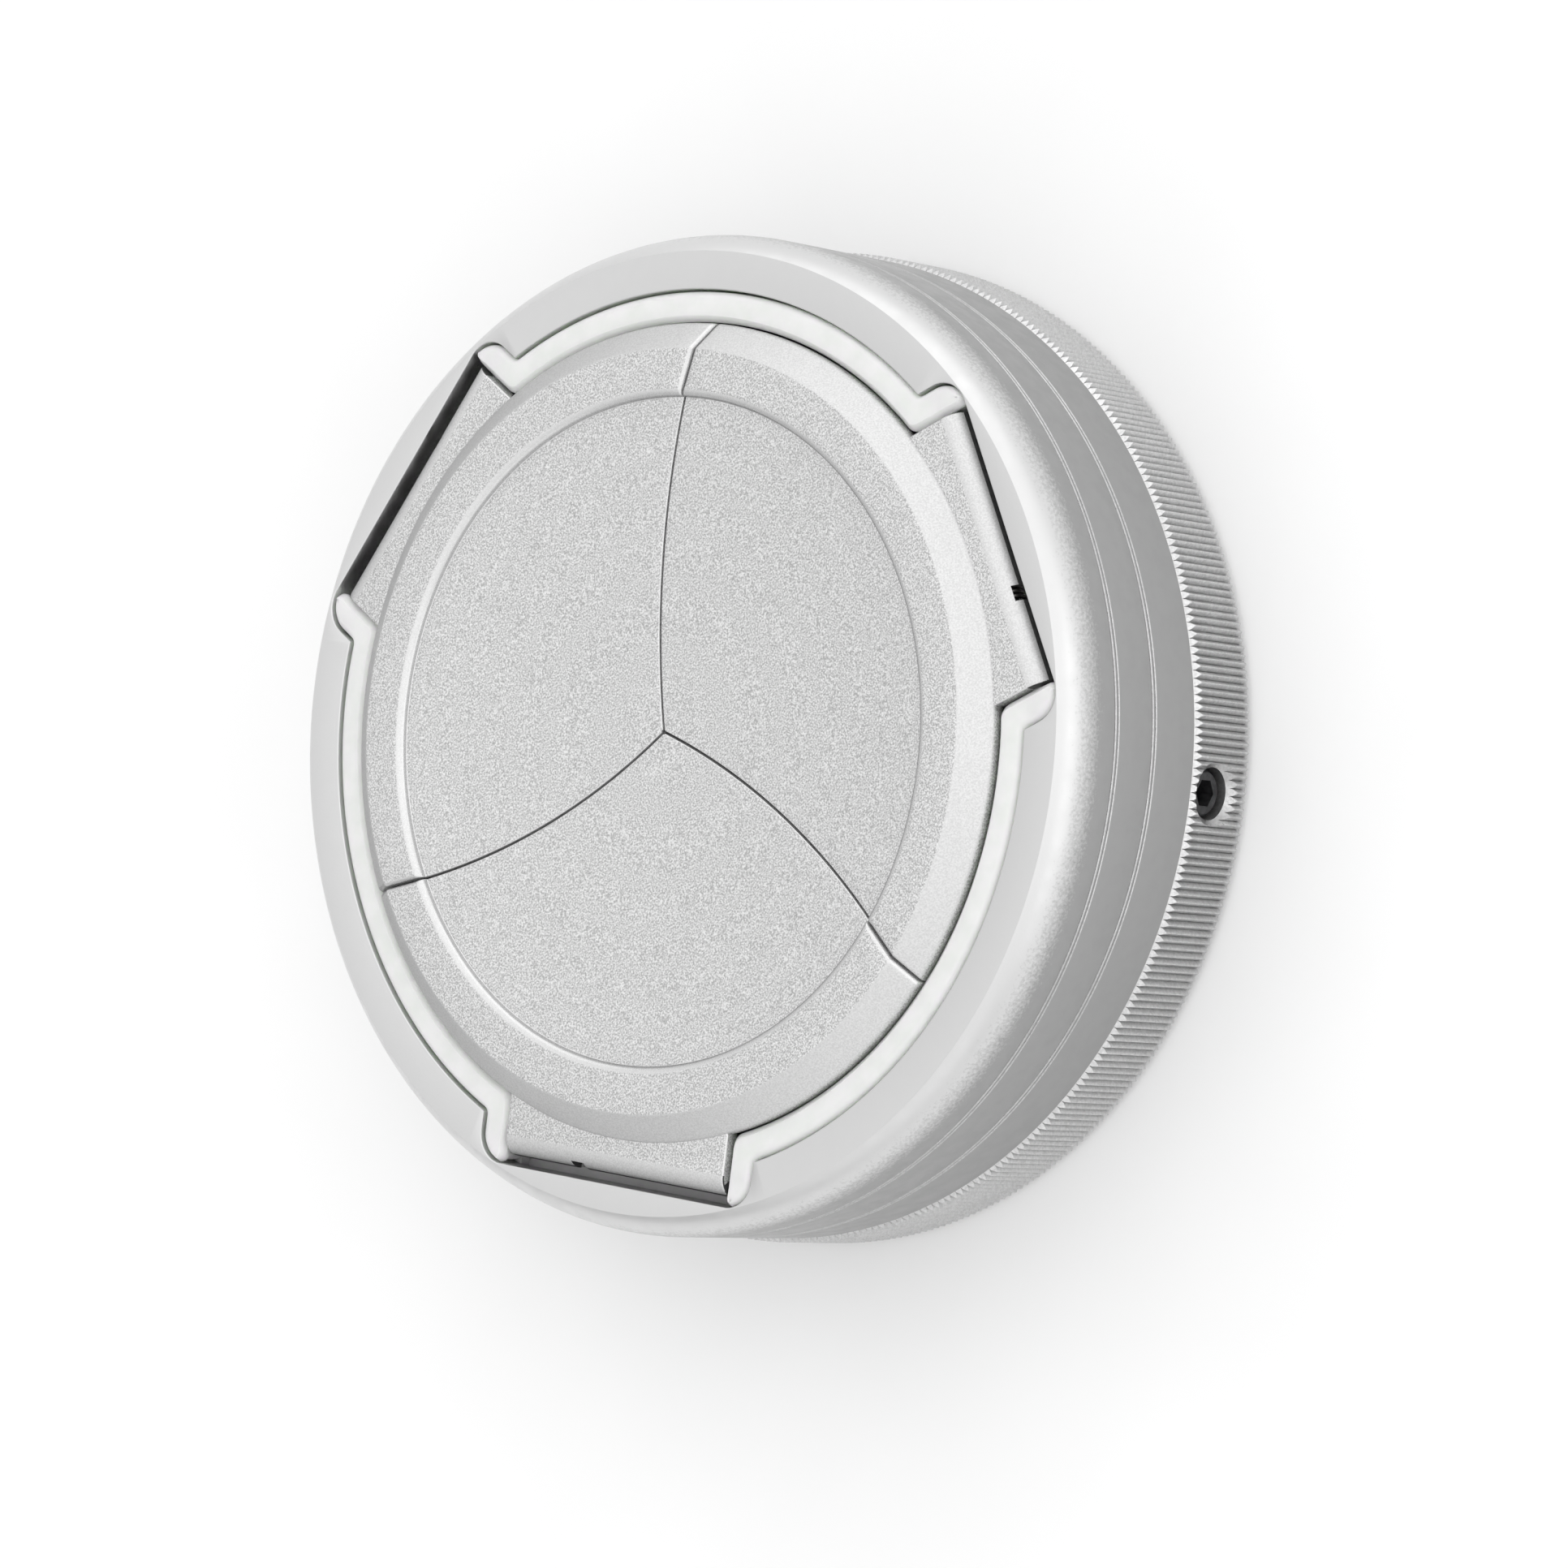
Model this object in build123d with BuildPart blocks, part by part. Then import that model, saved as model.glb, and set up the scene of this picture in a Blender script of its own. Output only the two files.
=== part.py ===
from build123d import *
import os
from math import atan2, cos, hypot, pi, radians, sin, sqrt, tan

# Self-opening lens cap: three sprung leaves in a turned ring, on a knurled clamp ring.
# Millimetres. +Z is the optical axis towards the subject, the origin is the centre of the
# rear face, and +X passes through the middle of the first hinge.

# Overall sizes
LEAF_R = 24.3            # rim of the closed leaf disc
FACE_Z = 17.5            # rear face to the front face of the ring
CLAMP_H = 5.6            # height of the knurled part of the clamp ring
HINGES = 3
HINGE_STEP = 360 / HINGES

# Running and assembly clearances
LEAF_GAP = 0.27          # leaf rim to the frame's wall
FRAME_FIT = 0.13         # frame to the ring around it
SPIGOT_FIT = 0.05        # clamp spigot to the ring's bore
PIN_RUN = 0.04           # leaf barrel on its pin, radial
PIN_PRESS = 0.01         # pin in the frame's ears, radial
BARREL_GAP = 0.55        # hinge barrel to the ring in front of it
FLOOR_GAP = 0.35         # hinge barrel to the frame's floor below it
EAR_GAP = 0.35           # leaf tab to the ear beside it
SEAM_GAP = 0.16          # leaf to leaf
SCREW_RUN = 0.05         # set screw in its tapped hole, radial

# Leaves
LEAF_TOP = 1.47          # raised annulus above the ring's face
LEAF_BACK = 0.85         # back of a leaf below the ring's face
BEVEL_W = 1.65
ANNULUS_W = 2.75         # raised ring between the recess and the bevel
RECESS_DEPTH = 0.89
STEP_DRAFT = 0.4         # slope of the recess wall
STEP_FLAT = 0.06         # straight part of that wall between its two rounds
RIM_DRAFT = 0.12         # the rim narrows towards the back
CORE_WALL = 1.1          # wall left above the cored channel
CORE_IN = 1.0            # cored channel under the annulus, from the recess wall
CORE_OUT = 0.35          # and from the bevel
SEAM_SWIRL = 15.0        # seam direction at the centre against its chord, degrees

# Hinges
HINGE_OUT = 0.9          # pin axis beyond the leaf rim
TAB_PROUD = 0.1          # top of the tabs above the ring's face
TAB_W = 17.0
PIN_R = 0.5
PIN_INSET = 0.25         # pin ends inside the ears
EAR_T = 1.6
EAR_NOSE = 0.4           # rounding of the ear tips
RIBBON_EDGE = 0.2        # broken upper edges of the ribbon

# Torsion springs
WIRE_R = 0.14
WIRE_SIDES = 4           # the wire is drawn square
COIL_RUN = 0.06          # coil to the pin inside it
COIL_TURNS = 4.25
COIL_PITCH = 0.32
COIL_START = -2.95       # first turn along the pin, from the middle of the hinge
COIL_ROOM = 0.12         # coil to the pocket around it
BARREL_SKIN = 0.29       # barrel left round the pocket
END_ROOM = 0.3           # coil to the ends of the pocket
LEG_LENGTH = 2.2         # leg held by the leaf
LEG_ROOM = 0.08
LEG_STAND = 0.2          # tip of the fixed leg above the underside of the frame's floor
NOTCH_W = 0.95           # slot for the fixed leg

# Hinge frame
FRAME_WALL = 1.6
FLANGE_T = 1.6
SKIRT_Z = 9.0

# Front ring
RIM_W = 3.45             # opening to the outside of the ring
LIP_T = 2.0
RING_WALL = 1.15
LOBE_CORNER = 1.8
EDGE_R = 2.75            # rounding of the front edge
EDGE_DEPTH = 2.25
GROOVE_DROPS = (4.26, 7.89)
GROOVE_DEPTH = 0.13
GROOVE_PAIR = 0.31       # the two cuts of a groove, apart

# Clamp ring
KNURL_H = 0.25
KNURL_PITCH = 0.477
KNURL_RIM = 0.45         # plain rim behind the knurl
RIM_STEP = 0.12          # the plain rim inside the root of the knurl
SPIGOT_EDGE = 0.3        # chamfer that leads the spigot into the ring
CLAMP_WALL = 3.25        # lens bore to the root of the knurl
LEAD_IN = 0.5            # chamfer at the mouth of the lens bore
SKIRT_ROOM = 0.6         # frame's skirt to the relieved bore around it

# Set screws
SCREWS = 3
SCREW_R = 1.5
SCREW_LENGTH = 2.5
SCREW_DROP = 2.25        # screw axis behind the front of the knurl
SCREW_TURN = -29.1       # first screw from the middle of the first hinge, degrees
SCREW_BACK = 0.1         # tip drawn back from the lens bore
SCREW_CHAMFER = 0.25
SINK_R = 2.07
SOCKET_FLATS = 1.5
SOCKET_DEPTH = 1.2

# Sizes that follow from the ones above
FRAME_IN_R = LEAF_R + LEAF_GAP
FRAME_OUT_R = FRAME_IN_R + FRAME_WALL
OPENING_R = FRAME_OUT_R + FRAME_FIT
RING_R = OPENING_R + RIM_W
BORE_R = RING_R - RING_WALL
LIP_Z = FACE_Z - LIP_T
FACE_EDGE_R = RING_R - EDGE_R + sqrt(EDGE_R**2 - EDGE_DEPTH**2)
HINGE_R = LEAF_R + HINGE_OUT
TAB_TOP = FACE_Z + TAB_PROUD
COIL_R = PIN_R + COIL_RUN + WIRE_R
POCKET_R = COIL_R + WIRE_R + COIL_ROOM
BARREL_R = POCKET_R + BARREL_SKIN
HINGE_Z = TAB_TOP - BARREL_R
LOBE_REACH = HINGE_R + BARREL_R + BARREL_GAP
EAR_IN = TAB_W / 2 + EAR_GAP
EAR_OUT = EAR_IN + EAR_T
LOBE_HALF = EAR_OUT + FRAME_FIT
WINDOW_Z = HINGE_Z - BARREL_R - FLOOR_GAP
FLANGE_Z = LIP_Z - FLANGE_T
BACK_Z = FACE_Z - LEAF_BACK
TOP_Z = FACE_Z + LEAF_TOP
RECESS_R = LEAF_R - BEVEL_W - ANNULUS_W
RECESS_Z = TOP_Z - RECESS_DEPTH
STEP_TANGENT = (hypot(STEP_DRAFT, RECESS_DEPTH) - STEP_FLAT) / 2
STEP_ROUND = STEP_TANGENT / tan(atan2(RECESS_DEPTH, STEP_DRAFT) / 2)
SEAM_R = LEAF_R / (2 * sin(radians(SEAM_SWIRL)))
LENS_R = RING_R - CLAMP_WALL
KNURL_TIP_R = RING_R + KNURL_H
SCREW_Z = CLAMP_H - SCREW_DROP
COIL_SLOPE = COIL_PITCH / (2 * pi * COIL_R)
COIL_END = COIL_START + COIL_TURNS * COIL_PITCH
NOTCH_RISE = COIL_R + WIRE_R + LEG_ROOM
NOTCH_IN = COIL_R - WIRE_R - 2 * LEG_ROOM
POCKET_START = COIL_START - WIRE_R - END_ROOM
POCKET_END = COIL_END + WIRE_R + END_ROOM
NEAR = 0.01              # tolerance for picking corners by their radius


def opening_outline(inset):
    """Front opening with its hinge lobes, drawn inwards by inset."""
    reach = LOBE_REACH - inset
    Circle(OPENING_R - inset)
    with PolarLocations(reach / 2, HINGES):
        RectangleRounded(reach, 2 * (LOBE_HALF - inset), LOBE_CORNER - inset)


def hinge_windows(mode):
    """Gap between the two ears of each hinge."""
    with PolarLocations(LOBE_REACH, HINGES):
        Rectangle(2 * LOBE_REACH, 2 * EAR_IN, mode=mode)


def seam_centre(turn):
    """Centre of the arc of the seam that ends on the rim at turn degrees."""
    angle = radians(turn + SEAM_SWIRL - 90)
    return (SEAM_R * cos(angle), SEAM_R * sin(angle))


def knurl_corners():
    """Corners of the straight knurl, a root and a tip in turn."""
    teeth = round(2 * pi * KNURL_TIP_R / KNURL_PITCH)
    corners = []
    for corner in range(2 * teeth):
        radius = KNURL_TIP_R if corner % 2 else RING_R
        angle = pi * corner / teeth
        corners.append((radius * cos(angle), radius * sin(angle)))
    return corners


def at_radius(vertices, radius):
    """Corners of a sketch that lie on a circle round the axis."""
    return [v for v in vertices if abs(hypot(v.X, v.Y) - radius) < NEAR]


def save(part, name):
    """Write one finished piece."""
    part.label = name
    export_step(part, f"parts/{name}.step")


def save_around(part, name, count):
    """Write a copy of a piece for each place round the axis."""
    for place in range(count):
        save(part.rotate(Axis.Z, place * 360 / count), f"{name}_{place + 1}")


# Front ring: a turned shell with a lip, two fine double grooves and the lobed opening
with BuildPart() as front_ring:
    with BuildSketch(Plane.XZ):
        with BuildLine():
            Polyline(
                (RING_R, FACE_Z - EDGE_DEPTH),
                (RING_R, CLAMP_H),
                (BORE_R, CLAMP_H),
                (BORE_R, LIP_Z),
                (OPENING_R, LIP_Z),
                (OPENING_R, FACE_Z),
                (FACE_EDGE_R, FACE_Z),
            )
            RadiusArc((FACE_EDGE_R, FACE_Z), (RING_R, FACE_Z - EDGE_DEPTH), EDGE_R)
        make_face()
    revolve(axis=Axis.Z)
    with BuildSketch(Plane.XZ):
        for drop in GROOVE_DROPS:
            with Locations((RING_R, FACE_Z - drop)):
                with GridLocations(0, GROOVE_PAIR, 1, 2):
                    Rectangle(GROOVE_DEPTH * sqrt(2), GROOVE_DEPTH * sqrt(2), rotation=45)
    revolve(axis=Axis.Z, mode=Mode.SUBTRACT)
    with BuildSketch(Plane.XY.offset(LIP_Z)):
        opening_outline(0)
    extrude(amount=LIP_T, mode=Mode.SUBTRACT)

# Hinge frame: one moulding with a skirt, a flange under the lip and a ribbon wall that
# runs round the opening and turns out into an ear on each side of every hinge
with BuildPart() as hinge_frame:
    with BuildSketch(Plane.XY.offset(SKIRT_Z)):
        Circle(FRAME_OUT_R)
        Circle(FRAME_IN_R, mode=Mode.SUBTRACT)
    extrude(amount=FLANGE_Z - SKIRT_Z)
    with BuildSketch(Plane.XY.offset(FLANGE_Z)):
        Circle(BORE_R - FRAME_FIT)
        Circle(FRAME_IN_R, mode=Mode.SUBTRACT)
    extrude(amount=FLANGE_T)
    with BuildSketch(Plane.XY.offset(WINDOW_Z)):
        hinge_windows(Mode.ADD)
    extrude(amount=LIP_Z - WINDOW_Z, mode=Mode.SUBTRACT)
    with BuildSketch(Plane.XY.offset(LIP_Z)) as ribbon:
        opening_outline(FRAME_FIT)
        Circle(FRAME_IN_R, mode=Mode.SUBTRACT)
        hinge_windows(Mode.SUBTRACT)
        ear_tips = at_radius(ribbon.vertices(), hypot(LOBE_REACH - FRAME_FIT, EAR_IN))
        fillet(ear_tips + at_radius(ribbon.vertices(), FRAME_IN_R), EAR_NOSE)
    extrude(amount=LIP_T)
    chamfer(hinge_frame.edges().filter_by_position(Axis.Z, FACE_Z - NEAR, FACE_Z + NEAR), RIBBON_EDGE)
    with Locations((0, 0, HINGE_Z)):
        with PolarLocations(HINGE_R, HINGES):
            Cylinder(PIN_R + PIN_PRESS, 3 * EAR_OUT, rotation=(90, 0, 0), mode=Mode.SUBTRACT)
    with Locations((0, 0, WINDOW_Z)):
        with PolarLocations(HINGE_R + COIL_R, HINGES):
            with Locations((0, COIL_START - COIL_SLOPE * (HINGE_Z - WINDOW_Z))):
                Hole(WIRE_R + LEG_ROOM, depth=WINDOW_Z - FLANGE_Z)

# Leaf: a moulded third of the disc with a bevelled rim, a shallow recess and curved seams,
# carried by a tab that ends in the hinge barrel
with BuildPart() as leaf:
    with BuildSketch(Plane.XZ) as leaf_section:
        with BuildLine():
            Polyline(
                (0, BACK_Z),
                (LEAF_R - RIM_DRAFT, BACK_Z),
                (LEAF_R, TAB_TOP),
                (LEAF_R - BEVEL_W, TOP_Z),
                (RECESS_R, TOP_Z),
                (RECESS_R - STEP_DRAFT, RECESS_Z),
                (0, RECESS_Z),
                close=True,
            )
        make_face()
        step = [v for v in leaf_section.vertices() if RECESS_R - STEP_DRAFT - NEAR < v.X < RECESS_R + NEAR]
        fillet(step, STEP_ROUND)
        with Locations((RECESS_R + CORE_IN, BACK_Z)):
            Rectangle(
                ANNULUS_W - CORE_IN - CORE_OUT,
                TOP_Z - CORE_WALL - BACK_Z,
                align=(Align.MIN, Align.MIN),
                mode=Mode.SUBTRACT,
            )
    revolve(axis=Axis.Z)
    with BuildSketch(Plane.XY.offset(BACK_Z)):
        Circle(LEAF_R)
        with Locations(seam_centre(HINGE_STEP / 2)):
            Circle(SEAM_R - SEAM_GAP / 2, mode=Mode.INTERSECT)
        with Locations(seam_centre(-HINGE_STEP / 2)):
            Circle(SEAM_R + SEAM_GAP / 2, mode=Mode.SUBTRACT)
    extrude(amount=TOP_Z - BACK_Z, mode=Mode.INTERSECT)
    with BuildSketch(Plane.XZ):
        with Locations((HINGE_R, HINGE_Z)):
            Circle(BARREL_R)
        with Locations((HINGE_R, TAB_TOP)):
            Rectangle(HINGE_R - LEAF_R + BEVEL_W, TAB_TOP - BACK_Z, align=(Align.MAX, Align.MAX))
    extrude(amount=TAB_W / 2, both=True)
    with Locations((HINGE_R, 0, HINGE_Z)):
        Cylinder(PIN_R + PIN_RUN, TAB_W, rotation=(90, 0, 0), mode=Mode.SUBTRACT)
    with Locations((HINGE_R, (POCKET_START + POCKET_END) / 2, HINGE_Z)):
        Cylinder(POCKET_R, POCKET_END - POCKET_START, rotation=(90, 0, 0), mode=Mode.SUBTRACT)
        Box(
            2 * BARREL_R,
            POCKET_END - POCKET_START,
            BARREL_R,
            align=(Align.CENTER, Align.CENTER, Align.MAX),
            mode=Mode.SUBTRACT,
        )
    with Locations((HINGE_R + NOTCH_IN, COIL_START, HINGE_Z)):
        Box(
            BARREL_R,
            NOTCH_W,
            NOTCH_RISE,
            align=(Align.MIN, Align.CENTER, Align.MIN),
            mode=Mode.SUBTRACT,
        )
    with Locations((HINGE_R, COIL_END - WIRE_R - LEG_ROOM, HINGE_Z + COIL_R)):
        Box(
            LEG_LENGTH + LEG_ROOM,
            2 * (WIRE_R + LEG_ROOM) + COIL_SLOPE * LEG_LENGTH,
            2 * (WIRE_R + LEG_ROOM),
            align=(Align.MAX, Align.MIN, Align.CENTER),
            mode=Mode.SUBTRACT,
        )

# Hinge pin: pressed into both ears
with BuildPart() as hinge_pin:
    with Locations((HINGE_R, 0, HINGE_Z)):
        Cylinder(PIN_R, 2 * (EAR_OUT - PIN_INSET), rotation=(90, 0, 0))

# Torsion spring: the fixed leg stands in the frame's floor, the other lies in the leaf;
# wound along +Z here and laid on the pin afterwards
with BuildPart() as torsion_spring:
    with BuildLine() as wire:
        coil = Helix(COIL_PITCH, COIL_END - COIL_START, COIL_R, lefthand=True)
        Line(coil @ 0 - (coil % 0) * (HINGE_Z - FLANGE_Z - LEG_STAND), coil @ 0)
        Line(coil @ 1, coil @ 1 + (coil % 1) * LEG_LENGTH)
    path = wire.wire()
    with BuildSketch(Plane(origin=path @ 0, z_dir=path % 0)):
        RegularPolygon(WIRE_R, WIRE_SIDES)
    sweep(path=path)

on_pin = Plane(origin=(HINGE_R, COIL_START, HINGE_Z), x_dir=(1, 0, 0), z_dir=(0, 1, 0))

# Clamp ring: straight knurl outside, a spigot that holds the frame against the lip, and
# the bore that slides over the lens
with BuildPart() as clamp_ring:
    with BuildSketch():
        Circle(RING_R - RIM_STEP)
    extrude(amount=KNURL_RIM)
    with BuildSketch(Plane.XY.offset(KNURL_RIM)):
        with BuildLine():
            Polyline(*knurl_corners(), close=True)
        make_face()
    extrude(amount=CLAMP_H - KNURL_RIM)
    with BuildSketch(Plane.XY.offset(CLAMP_H)):
        Circle(BORE_R - SPIGOT_FIT)
    extrude(amount=FLANGE_Z - CLAMP_H)
    chamfer(clamp_ring.edges().filter_by_position(Axis.Z, FLANGE_Z - NEAR, FLANGE_Z + NEAR), SPIGOT_EDGE)
    with BuildSketch():
        Circle(LENS_R)
    extrude(amount=SKIRT_Z, mode=Mode.SUBTRACT)
    with BuildSketch(Plane.XY.offset(SKIRT_Z)):
        Circle(FRAME_OUT_R + SKIRT_ROOM)
    extrude(amount=FLANGE_Z - SKIRT_Z, mode=Mode.SUBTRACT)
    with BuildSketch(Plane.XZ):
        with BuildLine():
            Polyline((LENS_R, 0), (LENS_R + LEAD_IN, 0), (LENS_R, LEAD_IN), close=True)
        make_face()
    revolve(axis=Axis.Z, mode=Mode.SUBTRACT)
    for place in range(SCREWS):
        turn = radians(SCREW_TURN + place * 360 / SCREWS)
        outward = (cos(turn), sin(turn), 0)
        mouth = (KNURL_TIP_R * cos(turn), KNURL_TIP_R * sin(turn), SCREW_Z)
        with Locations(Plane(origin=mouth, z_dir=outward)):
            CounterSinkHole(SCREW_R + SCREW_RUN, SINK_R, depth=KNURL_TIP_R - LENS_R + SCREW_R)

# Set screw: headless, with a hexagon socket outside, lying along +X before it is turned
with BuildPart() as set_screw:
    with BuildSketch(Plane.YZ.offset(LENS_R + SCREW_BACK)):
        with Locations((0, SCREW_Z)):
            Circle(SCREW_R)
    extrude(amount=SCREW_LENGTH)
    chamfer(set_screw.edges(), SCREW_CHAMFER)
    with BuildSketch(Plane.YZ.offset(LENS_R + SCREW_BACK + SCREW_LENGTH)):
        with Locations((0, SCREW_Z)):
            RegularPolygon(SOCKET_FLATS / 2, 6, major_radius=False)
    extrude(amount=-SOCKET_DEPTH, mode=Mode.SUBTRACT)

os.makedirs("parts", exist_ok=True)
save(front_ring.part, "front_ring")
save(hinge_frame.part, "hinge_frame")
save(clamp_ring.part, "clamp_ring")
save_around(leaf.part, "leaf", HINGES)
save_around(hinge_pin.part, "hinge_pin", HINGES)
save_around(torsion_spring.part.moved(on_pin.location), "torsion_spring", HINGES)
save_around(set_screw.part.rotate(Axis.Z, SCREW_TURN), "set_screw", SCREWS)
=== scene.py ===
from math import acos, asin, cos, hypot, pi, radians, sin, sqrt, tan

import bmesh
import bpy
from mathutils import Matrix, Vector


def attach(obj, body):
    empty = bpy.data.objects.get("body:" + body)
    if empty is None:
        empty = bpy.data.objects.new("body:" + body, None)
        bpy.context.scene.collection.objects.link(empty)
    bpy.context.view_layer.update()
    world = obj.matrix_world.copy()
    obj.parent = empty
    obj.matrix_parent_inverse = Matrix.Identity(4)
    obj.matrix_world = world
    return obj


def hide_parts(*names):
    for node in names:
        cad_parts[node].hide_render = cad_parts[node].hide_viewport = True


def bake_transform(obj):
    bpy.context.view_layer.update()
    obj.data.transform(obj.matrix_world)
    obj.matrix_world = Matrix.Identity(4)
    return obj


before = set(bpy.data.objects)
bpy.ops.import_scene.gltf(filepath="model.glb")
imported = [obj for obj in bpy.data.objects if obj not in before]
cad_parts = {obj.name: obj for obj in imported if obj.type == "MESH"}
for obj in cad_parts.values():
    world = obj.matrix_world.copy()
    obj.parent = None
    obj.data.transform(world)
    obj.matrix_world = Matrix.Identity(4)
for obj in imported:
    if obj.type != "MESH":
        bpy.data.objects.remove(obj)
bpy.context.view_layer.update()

# Sizes in millimetres, in the frame of the solid model
MM = 0.001
HINGES = 3
SCREWS = 3
BODIES = ("first", "second", "third")

# Front ring
FACE_Z = 17.5
LIP_Z = 15.5
CLAMP_H = 5.6
OPENING_R = 26.3
OPENING_EDGE = 0.08
OPENING_STEPS = 4
LOBE_REACH = 27.0
LOBE_HALF = 10.58
LOBE_CORNER = 1.8
RING_R = 29.75
BORE_R = 28.6
EDGE_R = 2.75
EDGE_DEPTH = 2.25
EDGE_STEPS = 18
FACE_EDGE_R = RING_R - EDGE_R + sqrt(EDGE_R**2 - EDGE_DEPTH**2)
WALL_Z = FACE_Z - EDGE_DEPTH - 0.5
REAR_BEVEL = 0.1
GROOVES = (FACE_Z - 4.26, FACE_Z - 7.89)
GROOVE_PAIR = 0.31
GROOVE_DEPTH = 0.12
GROOVE_TOP = 0.12
GROOVE_DRAFT = 0.01
GROOVE_LEDGE = 0.05
LEDGE_DROP = 0.02
GROOVE_FOOT = 0.08
GROOVE_SOFT = 0.015
GROOVE_ZONE = (RING_R - 0.5, RING_R - 0.004)

# Hinge frame
FRAME_FIT = 0.13
FRAME_IN_R = 24.57
FRAME_OUT_R = 26.17
FLANGE_R = BORE_R - FRAME_FIT
FLANGE_Z = 13.9
FLANGE_SOFT = 0.1
FLANGE_COLUMNS = 360
SKIRT_Z = 9.0
WINDOW_Z = 14.75
WINDOW_X = (20, 34)
RIBBON_EDGE = 0.42
RIBBON_Z = FACE_Z - RIBBON_EDGE
RIBBON_SLOPE = 0.36
RIBBON_LEDGE = 0.2
RIBBON_LEDGE_Z = (RIBBON_Z - 0.4, RIBBON_Z - 0.25)
RIBBON_FOOT = 0.05
RIBBON_FOOT_Z = (LIP_Z - 0.3, LIP_Z + 0.01)
RIBBON_CROWN = 0.06
RIBBON_STEPS = 8
EAR_IN = 8.85
EAR_NOSE = 0.35
EAR_EASE = 0.6
EASE_POINTS = 8
NOSE_SPLIT = 0.12
EAR_BEND = 0.04
BEND_OUT = 0.3
BEND_IN = 0.6
EAR_POINTS = 30
ARC_POINTS = 72

# Leaves
LEAF_R = 24.3
BACK_Z = 16.65
TOP_Z = 18.97
RECESS_R = 19.8
RECESS_Z = 18.45
RECESS_DISH = 0.7
DISH_START = 0.0085
DISH_END = 0.4
DISH_ROWS = 40
DISH_CURVE = 1.3
STEP_ROUND = 0.42
STEP_WIDTH = 0.6
STEP_LEAN = radians(12)
STEP_POINTS = 10
FOOT_SOFT = 0.05
TAB_TOP = 17.6
TAB_HALF = 8.5
TAB_EDGE = 0.12
TAB_ROOT = LEAF_R - 1.6
BEVEL_IN = 22.65
BEVEL_SOFT = 0.1
RIM_SOFT = 0.24
RIM_DRAFT = 0.03
RIM_DROP = 0.5
RIM_BACK = (LEAF_R - 0.12, 23.6, 23.0)
CORE_IN = 20.9
CORE_MIDDLE = 21.6
CORE_OUT = 22.3
CORE_Z = TOP_Z - 1.1
CORE_CLEAR = 0.05
SEAM_SWIRL = 15.0
SEAM_R = LEAF_R / (2 * sin(radians(SEAM_SWIRL)))
SEAM_TURN = 180 / HINGES
SEAM_HALF = 0.07
SEAM_EDGE = 0.07
SEAM_EDGE_MORE = 0.25
SEAM_EDGE_LIMIT = 0.4
SEAM_STEPS = 5
LEAF_COLUMNS = 44

# Leaf hinges: barrel, pin, spring, and the spring's pocket with x and z from the hinge axis
HINGE_R = 25.2
HINGE_Z = 16.35
BARREL_R = 1.25
BARREL_STEPS = 48
PIN_R = 0.5
PIN_HALF = 10.2
PIN_BEVEL = 0.12
PIN_COLUMNS = 32
PIN_HOLE_R = PIN_R + 0.01
PIN_HOLE_HALF = 14
PIN_BORE_R = PIN_R + 0.04
PIN_BORE_HALF = 9
HOLE_COLUMNS = 28
WIRE_R = 0.14
COIL_R = 0.7
COIL_TURNS = 4.25
COIL_PITCH = 0.32
COIL_START = -2.95
COIL_END = COIL_START + COIL_TURNS * COIL_PITCH
COIL_STEPS = 28
LEG_LENGTH = 2.2
FIXED_LEG = 2.25
LEG_STEPS = 4
POCKET_R = 0.96
POCKET_Y = (COIL_START - 0.44, COIL_END + 0.44)
POCKET_COLUMNS = 40
MOUTH_X = (-1.35, 1.35)
MOUTH_Z = (-1.5, 0)
NOTCH_X = (0.4, 1.6)
NOTCH_Y = (COIL_START - 0.475, COIL_START + 0.475)
NOTCH_Z = (-0.1, 0.92)
SLOT_X = (-2.28, 0)
SLOT_Y = (COIL_END - 0.22, COIL_END + 0.38)
SLOT_Z = (0.48, 0.92)

# Parts of a leaf with a finish of their own, and the barrel's downward side with painted shade:
# where they lie and how far they lean
BEVEL_ZONE = (BEVEL_IN - 0.05, LEAF_R + 0.06)
BEVEL_ZONE_Z = TAB_TOP - 0.1
BEVEL_LEAN = (0.3, 0.97)
ROUND_ZONE_Z = TAB_TOP - 0.4
ROUND_LEAN = (0.05, 0.97)
SEAM_LEAN = 0.2
BARREL_ZONE = HINGE_R + 0.05
SHADE_BELOW_LEAN = sin(radians(27))

# Clamp ring
LENS_R = 26.5
LENS_BEVEL = 0.5
RELIEF_R = 26.77
RELIEF_BEVEL = 0.1
SPIGOT_R = 28.55
SPIGOT_BEVEL = 0.15
RIM_R = 29.63
RIM_Z = 0.45
RIM_BEVEL = 0.12
TEETH = 395
KNURL_ROOT_R = 29.58
KNURL_VALLEY_R = 29.64
KNURL_FLANK_R = 29.79
KNURL_TIP_R = 29.999
KNURL_REAR_SLOPE = 0.06
KNURL_FRONT_SLOPE = -1

# Set screws
SCREW_Z = 3.35
SCREW_TURN = -29.1
SCREW_R = 1.5
SCREW_TIP = 26.6
SCREW_LENGTH = 2.5
SCREW_HOLE_R = SCREW_R + 0.05
SINK_BOTTOM = 25
SINK_START = 29.48
SINK_END = 30.6
SINK_COLUMNS = 64
SINK_ZONE = 29.3
SINK_NEAR = 0.02
THREAD_PITCH = 0.5
THREAD_DEPTH = 0.54 * THREAD_PITCH
THREAD_ROWS = 10
THREAD_BEVEL = 0.28
SOCKET_R = 0.866
SOCKET_DEPTH = 1.2


# Mesh helpers, all in millimetres

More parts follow.
